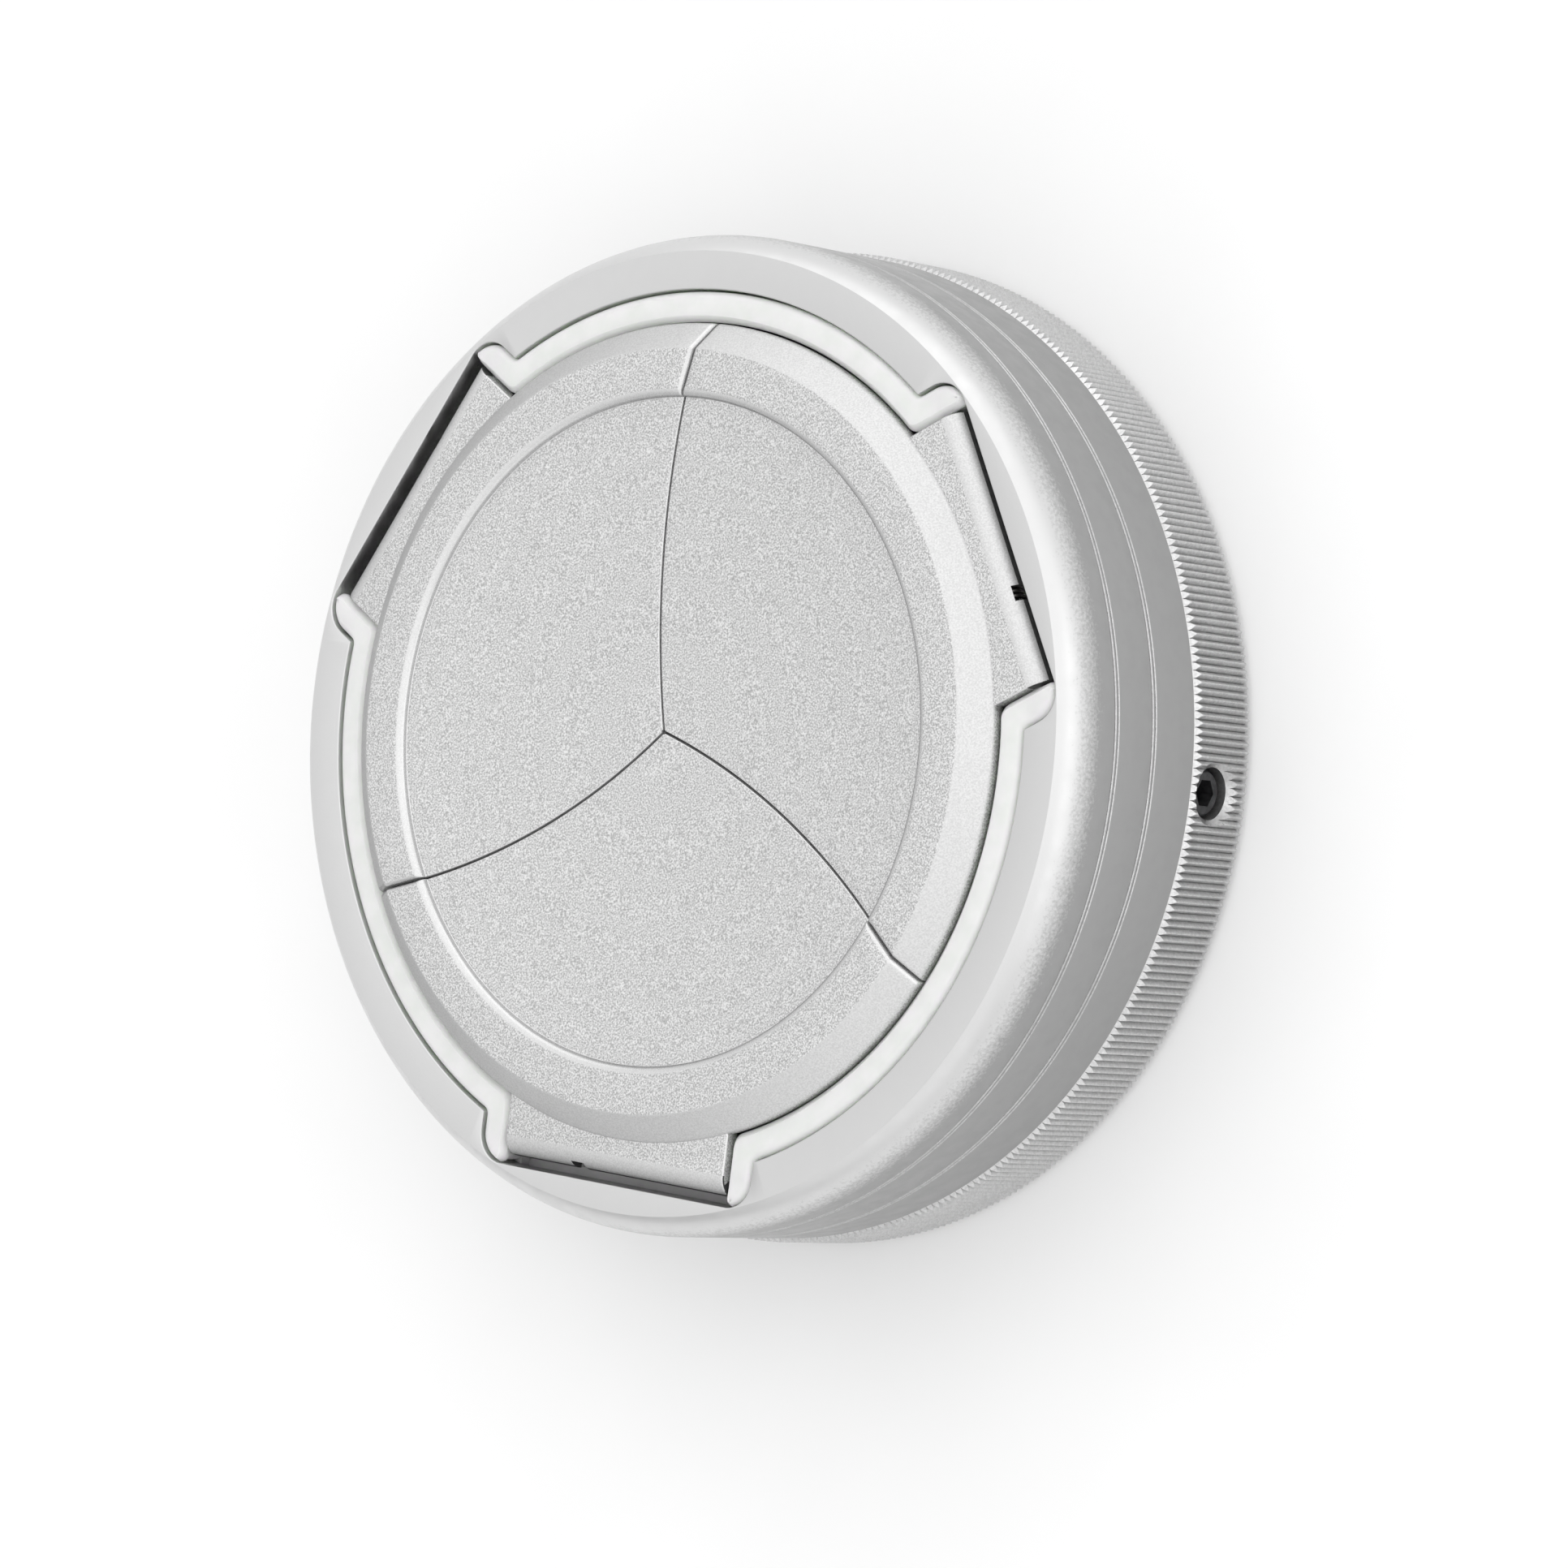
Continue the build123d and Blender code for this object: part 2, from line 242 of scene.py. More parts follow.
def new_object(name, verts, faces):
    """An object with its doubled points merged and its faces turned outwards."""
    mesh = bpy.data.meshes.new(name)
    mesh.from_pydata(verts, [], faces)
    bm = bmesh.new()
    bm.from_mesh(mesh)
    bmesh.ops.remove_doubles(bm, verts=bm.verts, dist=1e-5)
    bmesh.ops.recalc_face_normals(bm, faces=bm.faces)
    bm.to_mesh(mesh)
    bm.free()
    obj = bpy.data.objects.new(name, mesh)
    bpy.context.scene.collection.objects.link(obj)
    return obj


def combine(obj, tool, operation="DIFFERENCE"):
    """Cuts a tool from an object, or joins it to the object, and removes the tool."""
    mod = obj.modifiers.new("combine", "BOOLEAN")
    mod.operation = operation
    mod.solver = "EXACT"
    mod.object = tool
    graph = bpy.context.evaluated_depsgraph_get()
    mesh = bpy.data.meshes.new_from_object(obj.evaluated_get(graph))
    obj.modifiers.clear()
    obj.data = mesh
    bpy.data.objects.remove(tool)


def place(obj, materials, body, nodes=(), sharp=32):
    """Finishes a piece: metres, shading, material, the body it rides on and what it stands for."""
    obj.data.transform(Matrix.Scale(MM, 4))
    obj.data.polygons.foreach_set("use_smooth", [True] * len(obj.data.polygons))
    obj.data.set_sharp_from_angle(angle=radians(sharp))
    for material in materials:
        obj.data.materials.append(material)
    if nodes:
        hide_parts(*nodes)
    if body:
        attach(obj, body)


def turned_copy(obj, name, turn):
    """A copy of a piece turned about the axis by an angle in degrees."""
    copy = bpy.data.objects.new(name, obj.data.copy())
    copy.data.transform(Matrix.Rotation(radians(turn), 4, "Z"))
    bpy.context.scene.collection.objects.link(copy)
    return copy


def softened(points, reach, steps=6, closed=True):
    """Rounds the corners of a path.

    The reach says, for all corners or by corner, how far along the path the round begins.
    """
    out = []
    count = len(points)
    for i, p in enumerate(points):
        r = reach.get(i, 0) if isinstance(reach, dict) else reach
        if r == 0 or (not closed and i in (0, count - 1)):
            out.append(p)
            continue
        p = Vector(p)
        before = Vector(points[i - 1]) - p
        after = Vector(points[(i + 1) % count]) - p
        a = p + before.normalized() * min(r, before.length * 0.49)
        b = p + after.normalized() * min(r, after.length * 0.49)
        for k in range(steps + 1):
            t = k / steps
            out.append(tuple(a * (1 - t) ** 2 + p * 2 * t * (1 - t) + b * t * t))
    return out


def inset(points, distance):
    """A closed counter-clockwise outline drawn inwards by one distance, or by one per point."""
    out = []
    count = len(points)
    drawn = distance if isinstance(distance, list) else [distance] * count
    for i in range(count):
        p = Vector(points[i])
        d0 = (p - Vector(points[i - 1])).normalized()
        d1 = (Vector(points[(i + 1) % count]) - p).normalized()
        n0 = Vector((-d0.y, d0.x))
        n1 = Vector((-d1.y, d1.x))
        m = n0 + n1
        m = m / max(m.dot(n0), 0.35)
        out.append((p.x + m.x * drawn[i], p.y + m.y * drawn[i]))
    return out


def prism(points, loops, strip=False):
    """A counter-clockwise outline carried through loops, each with its inset and its height.

    A strip is capped from side to side: the second half of its outline runs back beside the first.
    """
    n = len(points)
    last = (len(loops) - 1) * n
    verts = []
    for distance, level in loops:
        verts += [(x, y, level) for x, y in (inset(points, distance) if distance else points)]
    if strip:
        pairs = [(j, n - 1 - j) for j in range(n // 2)]
        faces = [(a, b, d, c) for (a, b), (c, d) in zip(pairs, pairs[1:])]
        pairs = [(last + a, last + b) for a, b in pairs]
        faces += [(a, c, d, b) for (a, b), (c, d) in zip(pairs, pairs[1:])]
    else:
        faces = [tuple(range(n - 1, -1, -1)), tuple(range(last, last + n))]
    for i in range(len(loops) - 1):
        for j in range(n):
            k = (j + 1) % n
            faces.append((i * n + j, i * n + k, (i + 1) * n + k, (i + 1) * n + j))
    return verts, faces


def quarter_round(edge, steps):
    """Points of a rounded edge: how far in from the side and how far below the top each lies."""
    turns = [pi / 2 * k / steps for k in range(steps + 1)]
    return [(edge * (1 - cos(t)), edge * (1 - sin(t))) for t in turns]


def round_off(edge, level, down=False):
    """Loops that round the upper or the lower edge of a prism."""
    loops = quarter_round(edge, 5)
    loops.append((edge * 1.3, 0))
    if down:
        return [(distance, level + drop) for distance, drop in reversed(loops)]
    return [(distance, level - drop) for distance, drop in loops]


def turned_section(angles, rows):
    """A ring: the rows run round its section, and each has a radius and height for every angle."""
    n = len(angles)
    verts = [(r * cos(a), r * sin(a), z) for row in rows for a, (r, z) in zip(angles, row)]
    faces = []
    for i in range(len(rows)):
        k = (i + 1) % len(rows)
        for j in range(n):
            m = (j + 1) % n
            faces.append((i * n + j, i * n + m, k * n + m, k * n + j))
    return verts, faces


def stacked(bottom, rings, top):
    """A closed body round Z from rings of points, with a point on the axis at each end."""
    columns = len(rings[0])
    verts = [(0, 0, bottom)] + [p for ring in rings for p in ring] + [(0, 0, top)]
    last = 1 + (len(rings) - 1) * columns
    faces = []
    for j in range(columns):
        k = (j + 1) % columns
        faces.append((0, 1 + k, 1 + j))
        faces.append((len(verts) - 1, last + j, last + k))
        for i in range(len(rings) - 1):
            a = 1 + i * columns
            faces.append((a + j, a + k, a + columns + k, a + columns + j))
    return verts, faces


def lathe(profile, columns):
    """A closed body turned round Z from a profile that starts and ends on the axis."""
    turns = [2 * pi * j / columns for j in range(columns)]
    rings = [[(r * cos(a), r * sin(a), z) for a in turns] for r, z in profile[1:-1]]
    return stacked(profile[0][1], rings, profile[-1][1])


def cylinder(radius, low, high, columns):
    """A plain cylinder along Z between two heights."""
    return lathe([(0, low), (radius, low), (radius, high), (0, high)], columns)


def moved(shape, matrix):
    """The same shape elsewhere."""
    verts, faces = shape
    return [tuple(matrix @ Vector(v)) for v in verts], faces


def box(x, y, z):
    """A box between two values along each axis."""
    outline = [(x[0], y[0]), (x[1], y[0]), (x[1], y[1]), (x[0], y[1])]
    return prism(outline, [(0, z[0]), (0, z[1])])


def along_hinge(shape):
    """Lays a body turned round Z along the first hinge axis, towards +Y."""
    lay = Matrix.Translation((HINGE_R, 0, HINGE_Z)) @ Matrix.Rotation(radians(-90), 4, "X")
    return moved(shape, lay)


def hinge_box(x, y, z):
    """A box with its x and z counted from the first hinge axis."""
    return box([HINGE_R + v for v in x], y, [HINGE_Z + v for v in z])


# Materials. The ring's wall carries painted shade, a darker colour than its face, which turns into
# the face's colour between two heights, in metres, and the grain frays the change.
SHADE_CHANGE_HEIGHTS = (0.0164, 0.0180)
SHADE_FRAY = 0.003


def base_material(name, colour, metallic, roughness):
    """A material with its node tree and its shader."""
    material = bpy.data.materials.new(name)
    material.use_nodes = True
    shader = material.node_tree.nodes["Principled BSDF"]
    shader.inputs["Base Color"].default_value = (*colour, 1)
    shader.inputs["Metallic"].default_value = metallic
    shader.inputs["Roughness"].default_value = roughness
    return material, material.node_tree, shader


def noise(tree, scale, detail=2.0, roughness=0.5):
    """Noise fixed to the object."""
    where = tree.nodes.new("ShaderNodeTexCoord")
    made = tree.nodes.new("ShaderNodeTexNoise")
    made.inputs["Scale"].default_value = scale
    made.inputs["Detail"].default_value = detail
    made.inputs["Roughness"].default_value = roughness
    tree.links.new(where.outputs["Object"], made.inputs["Vector"])
    return made.outputs["Fac"]


def spread(tree, source, low, high, start=0.35, end=0.65):
    """Maps a value between start and end onto a range of numbers."""
    made = tree.nodes.new("ShaderNodeMapRange")
    made.inputs["From Min"].default_value = start
    made.inputs["From Max"].default_value = end
    made.inputs["To Min"].default_value = low
    made.inputs["To Max"].default_value = high
    tree.links.new(source, made.inputs["Value"])
    return made.outputs["Result"]


def tint(tree, shader, source, dark, light):
    """Lets a noise vary the colour between two shades."""
    ramp = tree.nodes.new("ShaderNodeValToRGB")
    ramp.color_ramp.elements[0].position = 0.35
    ramp.color_ramp.elements[0].color = (*dark, 1)
    ramp.color_ramp.elements[1].position = 0.65
    ramp.color_ramp.elements[1].color = (*light, 1)
    tree.links.new(source, ramp.inputs["Fac"])
    tree.links.new(ramp.outputs["Color"], shader.inputs["Base Color"])


def vary_roughness(tree, shader, source, middle, margin):
    """Lets a noise vary the roughness about a value."""
    level = spread(tree, source, middle - margin, middle + margin)
    tree.links.new(level, shader.inputs["Roughness"])


def bump(tree, shader, source, strength, distance):
    """Lets a noise raise the surface."""
    made = tree.nodes.new("ShaderNodeBump")
    made.inputs["Strength"].default_value = strength
    made.inputs["Distance"].default_value = distance
    tree.links.new(source, made.inputs["Height"])
    tree.links.new(made.outputs["Normal"], shader.inputs["Normal"])


def paint_shade_on_wall(tree, shader, speck, shade, wall):
    """Paints shade onto the wall of a ring: a darker colour than its face."""
    where = tree.nodes.new("ShaderNodeTexCoord")
    split = tree.nodes.new("ShaderNodeSeparateXYZ")
    tree.links.new(where.outputs["Object"], split.inputs["Vector"])
    frayed = tree.nodes.new("ShaderNodeMath")
    frayed.operation = "MULTIPLY_ADD"
    frayed.inputs[1].default_value = SHADE_FRAY
    tree.links.new(speck, frayed.inputs[0])
    tree.links.new(split.outputs["Z"], frayed.inputs[2])
    level = spread(tree, frayed.outputs["Value"], 0, 1, *SHADE_CHANGE_HEIGHTS)
    mix = tree.nodes.new("ShaderNodeMix")
    mix.data_type = "RGBA"
    mix.inputs["A"].default_value = (wall, wall, wall, 1)
    mix.inputs["B"].default_value = (shade, shade, shade, 1)
    tree.links.new(level, mix.inputs["Factor"])
    tree.links.new(mix.outputs["Result"], shader.inputs["Base Color"])


def satin_metal(name, shade, roughness, wall=None):
    """Anodised aluminium over a fine blasted surface; a wall colour, when given, is painted shade
    on the ring's wall.
    """
    material, tree, shader = base_material(name, (shade,) * 3, 1.0, roughness)
    speck = noise(tree, 5200, detail=3, roughness=0.7)
    if wall:
        paint_shade_on_wall(tree, shader, speck, shade, wall)
    else:
        tint(tree, shader, speck, (shade * 0.86,) * 3, (shade * 1.1,) * 3)
    vary_roughness(tree, shader, noise(tree, 900), roughness, 0.05)
    bump(tree, shader, speck, 0.25, 0.00002)
    return material


def grained_paint(name, shade, roughness, depth, contrast):
    """Silver paint over a moulded grain."""
    material, tree, shader = base_material(name, (shade,) * 3, 0.8, roughness)
    shader.inputs["Specular Tint"].default_value = (0.2, 0.2, 0.2, 1)
    grain = noise(tree, 9500, detail=1.5, roughness=0.6)
    dark = shade * (1 - contrast)
    light = shade * (1 + contrast * 0.7)
    tint(tree, shader, grain, (dark,) * 3, (light,) * 3)
    vary_roughness(tree, shader, noise(tree, 12000), roughness, 0.06)
    bump(tree, shader, grain, 0.5, depth)
    return material


# The ring's wall gets painted shade: 0.36 against the face's 0.66.
ring_metal = satin_metal("satin_silver", 0.66, 0.38, wall=0.36)
knurl_metal = satin_metal("knurled_silver", 0.64, 0.36)
cut_metal = satin_metal("cut_silver", 0.5, 0.3)
leaf_grain = grained_paint("leaf_grain", 0.66, 0.5, depth=0.00006, contrast=0.36)
leaf_smooth = grained_paint("leaf_smooth", 0.66, 0.5, depth=0.00001, contrast=0.1)
leaf_edge = grained_paint("leaf_edge", 0.68, 0.3, depth=0.000004, contrast=0.06)

frame_white, tree, shader = base_material("frame_white", (0.80, 0.83, 0.78), 0.0, 0.38)
shader.inputs["Subsurface Weight"].default_value = 0.9
shader.inputs["Subsurface Radius"].default_value = (0.0018, 0.0021, 0.0017)
shader.inputs["Subsurface Scale"].default_value = 1.0
tint(tree, shader, noise(tree, 700), (0.73, 0.76, 0.72), (0.78, 0.80, 0.77))

# Painted shade, near black, on the downward side of each hinge barrel and inside its pocket and
# notch
leaf_painted_shade, tree, shader = base_material("leaf_painted_shade", (0.04, 0.04, 0.04), 0.0, 0.45)
tint(tree, shader, noise(tree, 2500), (0.03, 0.03, 0.03), (0.05, 0.05, 0.05))

steel, tree, shader = base_material("drawn_steel", (0.55, 0.55, 0.56), 1.0, 0.3)
tint(tree, shader, noise(tree, 4000), (0.48, 0.48, 0.49), (0.62, 0.62, 0.63))

wire, tree, shader = base_material("spring_wire", (0.16, 0.155, 0.15), 1.0, 0.35)
tint(tree, shader, noise(tree, 4000), (0.11, 0.105, 0.10), (0.20, 0.195, 0.185))

black_oxide, tree, shader = base_material("black_oxide", (0.02, 0.02, 0.022), 0.3, 0.42)
tint(tree, shader, noise(tree, 3000), (0.012, 0.012, 0.013), (0.035, 0.035, 0.037))


# Front ring

def opening_radius(angle):
    """Edge of the lobed opening in a direction."""
    local = (angle + pi / HINGES) % (2 * pi / HINGES) - pi / HINGES
    c, s = cos(abs(local)), sin(abs(local))
    x, y = LOBE_REACH - LOBE_CORNER, LOBE_HALF - LOBE_CORNER
    reach = LOBE_REACH / c
    if reach * s > y:
        along = x * c + y * s
        under = along**2 - (x**2 + y**2 - LOBE_CORNER**2)
        reach = along + sqrt(max(under, 0))
        if reach * c < x:
            reach = LOBE_HALF / s
    return max(OPENING_R, reach)


def angle_of(rise, run):
    """Direction of a point, between 0 and a right angle."""
    return asin(rise / hypot(rise, run))


def lobe_angles():
    """Directions for the ring's columns, closer together round the lobe corners."""
    first = angle_of(LOBE_HALF - LOBE_CORNER, LOBE_REACH)
    last = angle_of(LOBE_HALF, LOBE_REACH - LOBE_CORNER)
    edge = asin(LOBE_HALF / OPENING_R)
    stops = [(0, first, 28), (first, last, 18), (last, edge, 5), (edge, pi / HINGES, 56)]
    half = [a + (b - a) * k / n for a, b, n in stops for k in range(n)]
    whole = [-a for a in reversed(half[1:])] + half + [pi / HINGES]
    return [2 * pi * k / HINGES + a for k in range(HINGES) for a in whole]


ring_profile = [(FACE_EDGE_R, FACE_Z)]
edge_turn = acos((FACE_EDGE_R - RING_R + EDGE_R) / EDGE_R)
for k in range(1, EDGE_STEPS + 1):
    a = edge_turn * (1 - k / EDGE_STEPS)
    ring_profile.append((RING_R - EDGE_R + EDGE_R * cos(a), FACE_Z - EDGE_DEPTH + EDGE_R * sin(a)))
wall = [(RING_R, WALL_Z)]
for z in GROOVES:
    for line in (z + GROOVE_PAIR / 2, z - GROOVE_PAIR / 2):
        wall += [(RING_R, line + GROOVE_TOP),
                 (RING_R - GROOVE_DEPTH, line + GROOVE_TOP - GROOVE_DRAFT),
                 (RING_R - GROOVE_DEPTH, line),
                 (RING_R - GROOVE_LEDGE, line - LEDGE_DROP),
                 (RING_R, line - GROOVE_FOOT)]
wall.append((RING_R, CLAMP_H + 1))
ring_profile += softened(wall, GROOVE_SOFT, 2, False)
ring_profile += [(RING_R, CLAMP_H + REAR_BEVEL), (RING_R - REAR_BEVEL, CLAMP_H),
                 (BORE_R, CLAMP_H), (BORE_R, LIP_Z)]

angles = lobe_angles()
opening = [opening_radius(a) for a in angles]
rows = [[(r, LIP_Z) for r in opening]]
for out, drop in quarter_round(OPENING_EDGE, OPENING_STEPS):
    rows.append([(r + out, FACE_Z - drop) for r in opening])
rows += [[p] * len(angles) for p in ring_profile]
ring = new_object("ring_shell", *turned_section(angles, rows))
for face in ring.data.polygons:
    x, y, z = face.center
    in_groove = z < WALL_Z and GROOVE_ZONE[0] < hypot(x, y) < GROOVE_ZONE[1]
    face.material_index = 1 if in_groove else 0
place(ring, [ring_metal, cut_metal], "housing", ["front_ring"])


# Hinge frame: the ribbon round the opening with its ears, on a flange and skirt

def arc(centre, radius, start, end, count):
    """Points along an arc."""
    steps = [start + (end - start) * k / count for k in range(count + 1)]
    return [(centre[0] + radius * cos(a), centre[1] + radius * sin(a)) for a in steps]


def evenly(points, count):
    """The same path in equal steps."""
    points = [Vector(p) for p in points]
    run = [0]
    for a, b in zip(points, points[1:]):
        run.append(run[-1] + (b - a).length)
    out = []
    i = 0
    for k in range(count + 1):
        s = run[-1] * k / count
        while i < len(points) - 2 and run[i + 1] < s:
            i += 1
        out.append(tuple(points[i].lerp(points[i + 1], (s - run[i]) / (run[i + 1] - run[i]))))
    return out


def mirrored(points, turn):
    """A path in the mirror that swaps the first hinge and the next, run backwards."""
    c, s = cos(turn), sin(turn)
    return [(x * c + y * s, x * s - y * c) for x, y in reversed(points)]


def ribbon_outline():
    """The ribbon from the first hinge to the second: its outer side, then its inner side back."""
    turn = 2 * pi / HINGES
    axis = (0, 0)
    r = LOBE_CORNER - FRAME_FIT
    corner = (LOBE_REACH - FRAME_FIT - r, LOBE_HALF - FRAME_FIT - r)
    nose_y = EAR_IN + EAR_NOSE
    nose = (corner[0] + sqrt((r - EAR_NOSE) ** 2 - (nose_y - corner[1]) ** 2), nose_y)
    meet = asin((nose_y - corner[1]) / (r - EAR_NOSE))
    foot = asin((corner[1] + r) / FRAME_OUT_R)
    heel = asin(EAR_IN / FRAME_IN_R)
    outer = arc(nose, EAR_NOSE, NOSE_SPLIT, meet, 3) + arc(corner, r, meet, pi / 2, 14)[1:]
    outer += arc(axis, FRAME_OUT_R, foot, foot + EAR_BEND, 1)
    inner = arc(nose, EAR_NOSE, -NOSE_SPLIT, -pi / 2, 8)
    inner += arc(axis, FRAME_IN_R, heel, heel + EAR_BEND, 1)
    outer = evenly(softened(outer, {len(outer) - 2: BEND_OUT}, 6, False), EAR_POINTS)
    inner = evenly(softened(inner, {len(inner) - 2: BEND_IN}, 6, False), EAR_POINTS)
    sides = []
    for ear, radius, start in ((outer, FRAME_OUT_R, foot + EAR_BEND),
                               (inner, FRAME_IN_R, heel + EAR_BEND)):
        between = arc(axis, radius, start, turn - start, ARC_POINTS)[1:-1]
        sides.append(ear + between + mirrored(ear, turn))
    return sides[0] + sides[1][::-1]


def ribbon_loops(count):
    """Levels of the ribbon: round outside, and sloped down inside to a ledge beside the leaves."""
    ends = [min(j, count - 1 - j) for j in range(count)]
    ease = [EAR_EASE + (1 - EAR_EASE) * min(1, j / EASE_POINTS) for j in ends]
    levels = [(RIBBON_FOOT, RIBBON_FOOT, RIBBON_FOOT_Z[0]),
              (RIBBON_FOOT, RIBBON_FOOT, RIBBON_FOOT_Z[1]),
              (0, 0, RIBBON_FOOT_Z[1]),
              (0, 0, RIBBON_LEDGE_Z[0]),
              (0, -RIBBON_LEDGE, RIBBON_LEDGE_Z[1])]
    for k in range(RIBBON_STEPS + 1):
        t = pi / 2 * k / RIBBON_STEPS
        levels.append((RIBBON_EDGE * (1 - cos(t)), RIBBON_SLOPE * sin(t) - RIBBON_LEDGE,
                       RIBBON_Z + RIBBON_EDGE * sin(t)))
    levels.append((RIBBON_EDGE * 1.2, RIBBON_SLOPE - RIBBON_LEDGE + RIBBON_CROWN, FACE_Z))
    return [([outer * e for e in ease] + [inner * e for e in ease], z)
            for outer, inner, z in levels]


flange = softened([(FRAME_IN_R, SKIRT_Z), (FRAME_OUT_R, SKIRT_Z), (FRAME_OUT_R, FLANGE_Z),
                   (FLANGE_R, FLANGE_Z), (FLANGE_R, LIP_Z), (FRAME_IN_R, LIP_Z)], FLANGE_SOFT, 3)
around = [2 * pi * k / FLANGE_COLUMNS for k in range(FLANGE_COLUMNS)]
section = turned_section(around, [[p] * FLANGE_COLUMNS for p in flange])
moulding = new_object("frame_moulding", *section)
window = box(WINDOW_X, (-EAR_IN, EAR_IN), (WINDOW_Z, LIP_Z + 1))
outline = ribbon_outline()
ribbon = prism(outline, ribbon_loops(len(outline) // 2), True)
hole = along_hinge(cylinder(PIN_HOLE_R, -PIN_HOLE_HALF, PIN_HOLE_HALF, HOLE_COLUMNS))
hinge_turns = [Matrix.Rotation(2 * pi * k / HINGES, 4, "Z") for k in range(HINGES)]
for turn in hinge_turns:
    combine(moulding, new_object("window", *moved(window, turn)))
    combine(moulding, new_object("ribbon", *moved(ribbon, turn)), "UNION")
for turn in hinge_turns:
    combine(moulding, new_object("hole", *moved(hole, turn)))
place(moulding, [frame_white], "housing", ["hinge_frame"])


# Leaves

def seam_angle(radius, turn, offset):
    """Direction in which a seam, moved sideways by an offset, crosses a circle."""
    centre = radians(turn + SEAM_SWIRL - 90)
    return centre + acos((radius**2 + SEAM_R**2 - (SEAM_R + offset) ** 2) / (2 * radius * SEAM_R))


def leaf_columns(radius):
    """Directions across a leaf at a radius, with the drop of the seam edge's rounding at each."""
    beyond = min(max((radius - RECESS_R) / STEP_WIDTH, 0), 1)
    edge = min(SEAM_EDGE + SEAM_EDGE_MORE * beyond, SEAM_EDGE_LIMIT * radius)
    near = quarter_round(edge, SEAM_STEPS)
    low = [(seam_angle(radius, -SEAM_TURN, SEAM_HALF + d), drop) for d, drop in near]
    high = [(seam_angle(radius, SEAM_TURN, -SEAM_HALF - d), drop) for d, drop in reversed(near)]
    a, b = low[-1][0], high[0][0]
    middle = [(a + (b - a) * k / LEAF_COLUMNS, 0) for k in range(1, LEAF_COLUMNS)]
    return low + middle + high


def leaf_rows():
    """Radius and height of a leaf's rows, outwards over its front and inwards over its back."""
    step = []
    for k in range(STEP_POINTS):
        t = STEP_LEAN + (pi / 2 - STEP_LEAN) * k / (STEP_POINTS - 1)
        step.append((RECESS_R + STEP_WIDTH * (1 - cos(t)), TOP_Z - STEP_ROUND * (1 - sin(t))))
    foot = step[0][0] - (step[0][1] - RECESS_Z) * tan(STEP_LEAN)
    shares = [(k / DISH_ROWS) ** DISH_CURVE for k in range(DISH_ROWS + 1)]
    radii = [(foot - DISH_END) * (DISH_START + (1 - DISH_START) * share) for share in shares]
    dish = [(r, RECESS_Z - RECESS_DISH * (1 - (r / foot) ** 2)) for r in radii]
    rim = [(BEVEL_IN, TOP_Z), (LEAF_R, TAB_TOP), (LEAF_R - RIM_DRAFT, TAB_TOP - RIM_DROP)]
    soft = {1: FOOT_SOFT, STEP_POINTS + 2: BEVEL_SOFT, STEP_POINTS + 3: RIM_SOFT}
    front = dish + softened([dish[-1], (foot, RECESS_Z)] + step + rim, soft, 8, False)[1:]
    plain = [r for r, _ in front if r < CORE_IN - CORE_CLEAR]
    back = [(r, BACK_Z) for r in (*RIM_BACK, CORE_OUT)]
    back += [(r, CORE_Z) for r in (CORE_OUT, CORE_MIDDLE, CORE_IN)]
    back += [(r, BACK_Z) for r in (CORE_IN, *reversed(plain))]
    return front, back


def seam_wall(radii, fronts, column, n):
    """Wall along one seam of a leaf, between the rows of its front and those of its back."""
    faces = []
    strip = []
    upper = 0
    for low in range(len(radii) - 1, fronts - 1, -1):
        chain = [upper]
        while upper + 1 < fronts and radii[upper] <= radii[upper + 1] <= radii[low] + 1e-6:
            upper += 1
            chain.append(upper)
        strip.append((low, chain))
    for (low, _), (next_low, chain) in zip(strip, strip[1:]):
        loop = [i * n + column for i in (*chain, next_low, low)]
        faces.append(tuple(dict.fromkeys(loop)))
    rest = [i * n + column for i in range(upper, fronts + 1)]
    if len(rest) > 2:
        faces.append(tuple(rest))
    return faces


def leaf_disc():
    """A third of the disc, with rounded seam edges and a cored back."""
    front, back = leaf_rows()
    rows = front + back
    verts = []
    for i, (r, z) in enumerate(rows):
        for a, drop in leaf_columns(r):
            verts.append((r * cos(a), r * sin(a), z - drop if i < len(front) else z))
    n = len(verts) // len(rows)
    faces = []
    for i in range(len(rows)):
        k = (i + 1) % len(rows)
        for j in range(n - 1):
            faces.append((i * n + j, i * n + j + 1, k * n + j + 1, k * n + j))
    radii = [r for r, _ in rows]
    for column in (0, n - 1):
        faces += seam_wall(radii, len(front), column, n)
    return verts, faces


def leaf_tab():
    """Tab and hinge barrel of a leaf, along Y."""
    rise = BACK_Z - HINGE_Z
    first = pi - asin(rise / BARREL_R)
    outline = [(HINGE_R - sqrt(BARREL_R**2 - rise**2), BACK_Z)]
    outline += arc((HINGE_R, HINGE_Z), BARREL_R, first, 2.5 * pi, BARREL_STEPS)[1:]
    outline += [(TAB_ROOT, TAB_TOP), (TAB_ROOT, BACK_Z)]
    shape = prism(outline, round_off(TAB_EDGE, -TAB_HALF, True) + round_off(TAB_EDGE, TAB_HALF))
    return moved(shape, Matrix.Rotation(radians(90), 4, "X") @ Matrix.Scale(-1, 4, (0, 0, 1)))


leaf = new_object("leaf_panel_1", *leaf_disc())
combine(leaf, new_object("tab", *leaf_tab()), "UNION")
bore = cylinder(PIN_BORE_R, -PIN_BORE_HALF, PIN_BORE_HALF, HOLE_COLUMNS)
combine(leaf, new_object("bore", *along_hinge(bore)))
hollow = cylinder(POCKET_R, *POCKET_Y, POCKET_COLUMNS)
combine(leaf, new_object("hollow", *along_hinge(hollow)))
combine(leaf, new_object("mouth", *hinge_box(MOUTH_X, POCKET_Y, MOUTH_Z)))
combine(leaf, new_object("notch", *hinge_box(NOTCH_X, NOTCH_Y, NOTCH_Z)))
combine(leaf, new_object("slot", *hinge_box(SLOT_X, SLOT_Y, SLOT_Z)))

